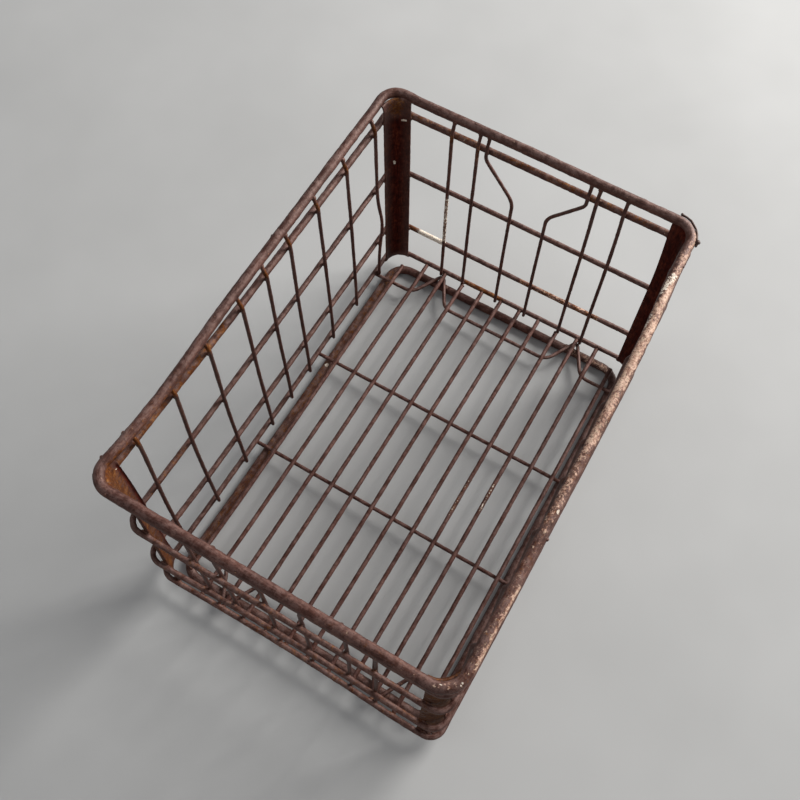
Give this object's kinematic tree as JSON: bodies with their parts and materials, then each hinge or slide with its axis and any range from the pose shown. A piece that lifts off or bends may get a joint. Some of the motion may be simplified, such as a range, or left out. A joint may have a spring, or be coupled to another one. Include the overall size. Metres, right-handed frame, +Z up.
{
  "type": "wire crate",
  "caption": "Open-topped welded wire crate with round-cornered rim, wrapping hoops, quarter-round corner posts, hand holds in both ends and a stacking ring under its wire floor.",
  "frame": {"origin": "middle of the footprint, on the plane the crate rests on", "axes": "+X along the crate's length, +Y across it, +Z up out of its open top"},
  "size_m": [0.476, 0.336, 0.292],
  "materials": {
    "rusted_steel": "rusted, matt and scaly"
  },
  "bodies": {
    "root": {"corner_post_back_left": "rusted_steel", "corner_post_back_right": "rusted_steel", "corner_post_front_left": "rusted_steel", "corner_post_front_right": "rusted_steel", "cross_wire_back": "rusted_steel", "cross_wire_front": "rusted_steel", "end_tie_back": "rusted_steel", "end_tie_front": "rusted_steel", "end_wire_back_1": "rusted_steel", "end_wire_back_2": "rusted_steel", "end_wire_back_3": "rusted_steel", "end_wire_back_4": "rusted_steel", "end_wire_front_1": "rusted_steel", "end_wire_front_2": "rusted_steel", "end_wire_front_3": "rusted_steel", "end_wire_front_4": "rusted_steel", "floor_wire_1": "rusted_steel", "floor_wire_10": "rusted_steel", "floor_wire_11": "rusted_steel", "floor_wire_12": "rusted_steel", "floor_wire_2": "rusted_steel", "floor_wire_3": "rusted_steel", "floor_wire_4": "rusted_steel", "floor_wire_5": "rusted_steel", "floor_wire_6": "rusted_steel", "floor_wire_7": "rusted_steel", "floor_wire_8": "rusted_steel", "floor_wire_9": "rusted_steel", "hand_hold_wire_back_left": "rusted_steel", "hand_hold_wire_back_right": "rusted_steel", "hand_hold_wire_front_left": "rusted_steel", "hand_hold_wire_front_right": "rusted_steel", "high_hoop": "rusted_steel", "low_hoop": "rusted_steel", "middle_hoop": "rusted_steel", "side_wire_left_1": "rusted_steel", "side_wire_left_2": "rusted_steel", "side_wire_left_3": "rusted_steel", "side_wire_left_4": "rusted_steel", "side_wire_left_5": "rusted_steel", "side_wire_left_6": "rusted_steel", "side_wire_left_7": "rusted_steel", "side_wire_left_8": "rusted_steel", "side_wire_left_9": "rusted_steel", "side_wire_right_1": "rusted_steel", "side_wire_right_2": "rusted_steel", "side_wire_right_3": "rusted_steel", "side_wire_right_4": "rusted_steel", "side_wire_right_5": "rusted_steel", "side_wire_right_6": "rusted_steel", "side_wire_right_7": "rusted_steel", "side_wire_right_8": "rusted_steel", "side_wire_right_9": "rusted_steel", "stacking_ring": "rusted_steel", "top_rim": "rusted_steel", "upper_hoop": "rusted_steel"}
  },
  "joints": []
}
